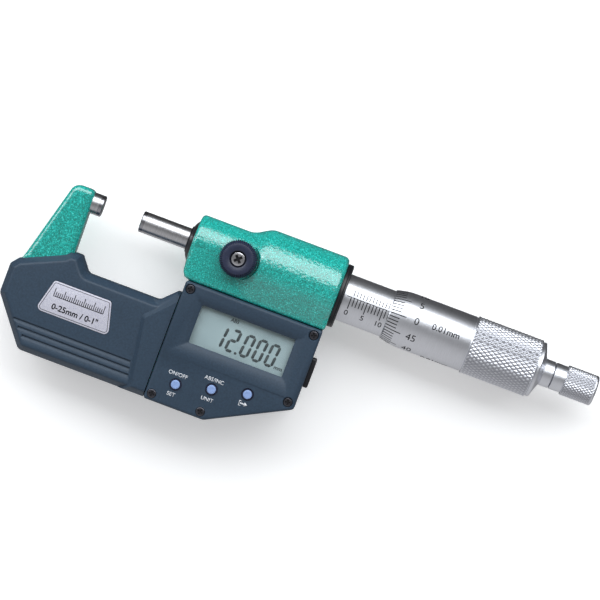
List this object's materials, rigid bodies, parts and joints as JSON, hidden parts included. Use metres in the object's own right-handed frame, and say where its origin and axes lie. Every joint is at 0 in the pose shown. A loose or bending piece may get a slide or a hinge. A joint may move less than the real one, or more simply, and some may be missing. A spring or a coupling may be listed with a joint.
{
  "type": "outside micrometer",
  "caption": "Outside micrometer with a U-shaped enamelled frame, screw spindle, graduated thimble, ratchet stop, spindle lock and an electronic display housing.",
  "frame": {"origin": "centre of the anvil's measuring face, on the spindle axis", "axes": "+X along the spindle axis from the anvil to the ratchet, +Y away from the bow, +Z out of the display"},
  "size_m": [0.1758, 0.0598, 0.0249],
  "materials": {
    "enamel": "green hammertone enamel",
    "shell": "slate blue, fine grain",
    "carbide": "lapped carbide",
    "ground_steel": "ground",
    "satin_chrome": "satin",
    "nickel": "bright",
    "brass": "turned",
    "spring_steel": "drawn",
    "black_steel": "black oxide",
    "rubber": "moulded",
    "knob_plastic": "navy, fine grain",
    "button_plastic": "periwinkle",
    "label": "silver foil",
    "clear": "clear window",
    "lcd": "reflective display",
    "black_plastic": "moulded",
    "board": "solder mask",
    "flex": "polyimide",
    "silicone": "moulded",
    "cell": "bright",
    "contact": "gilt"
  },
  "bodies": {
    "root": {"frame": "enamel", "anvil": "ground_steel", "anvil_tip": "carbide", "spindle_seal": "rubber", "barrel_end_ring": "black_plastic", "inner_sleeve": "ground_steel", "adjusting_nut": "brass", "sleeve": "satin_chrome", "lock_pad": "brass", "encoder_stator": "board", "encoder_flex": "flex", "front_cover": "shell", "rear_cover": "shell", "cover_screws": "black_steel", "label_plate": "label", "display_housing": "shell", "rear_housing": "shell", "housing_gasket": "rubber", "display_window": "clear", "lcd_panel": "lcd", "lcd_holder": "black_plastic", "lcd_connector": "silicone", "circuit_board": "board", "processor": "black_plastic", "keypad_mat": "silicone", "housing_screws": "black_steel", "battery": "cell", "battery_contact_minus": "contact", "battery_contact_plus": "contact", "data_connector": "black_plastic"},
    "rotor": {"encoder_rotor": "board", "rotor_bush": "brass", "rotor_key": "ground_steel", "wave_spring": "spring_steel"},
    "spindle": {"spindle": "ground_steel", "spindle_tip": "carbide", "thimble": "satin_chrome", "ratchet_neck": "satin_chrome", "ratchet_disc": "spring_steel", "ratchet_spring": "spring_steel", "ratchet_screw": "black_steel"},
    "ratchet": {"ratchet_knob": "satin_chrome"},
    "lock": {"lock_knob": "knob_plastic", "lock_screw": "nickel", "lock_stem": "ground_steel"},
    "on_off_button": {"on_off_button": "button_plastic"},
    "abs_inc_button": {"abs_inc_button": "button_plastic"},
    "data_button": {"data_button": "button_plastic"},
    "port_cover": {"port_cover": "rubber"},
    "battery_cap": {"battery_cap": "shell", "battery_cap_seal": "rubber"}
  },
  "joints": [
    {"name": "spindle_turn", "type": "hinge", "parent": "root", "child": "rotor", "pos_m": [0, 0, 0], "axis": [1, 0, 0], "range_deg": [-8640, 9360]},
    {"name": "spindle_feed", "type": "slide", "parent": "rotor", "child": "spindle", "axis": [1, 0, 0], "range_m": [-0.012, 0.013]},
    {"name": "ratchet_turn", "type": "hinge", "parent": "spindle", "child": "ratchet", "pos_m": [0.15, 0, 0], "axis": [1, 0, 0], "continuous": true},
    {"name": "lock_turn", "type": "hinge", "parent": "root", "child": "lock", "pos_m": [0.0432, 0, 0.011], "axis": [0, 0, -1], "range_deg": [0, 60]},
    {"name": "on_off_button_press", "type": "slide", "parent": "root", "child": "on_off_button", "axis": [0, 0, -1], "range_m": [0, 0.0004], "stiffness_N_per_m": 2000},
    {"name": "abs_inc_button_press", "type": "slide", "parent": "root", "child": "abs_inc_button", "axis": [0, 0, -1], "range_m": [0, 0.0004], "stiffness_N_per_m": 2000},
    {"name": "data_button_press", "type": "slide", "parent": "root", "child": "data_button", "axis": [0, 0, -1], "range_m": [0, 0.0004], "stiffness_N_per_m": 2000},
    {"name": "port_cover_pull", "type": "slide", "parent": "root", "child": "port_cover", "axis": [1, 0, 0], "range_m": [0, 0.008]},
    {"name": "battery_cap_turn", "type": "hinge", "parent": "root", "child": "battery_cap", "pos_m": [0.0645, -0.02445, -0.011], "axis": [0, 0, -1], "range_deg": [0, 45]}
  ],
  "couplings": [
    {"joint": "spindle_turn", "follows": "spindle_feed", "rad_per_m": 12566}
  ]
}
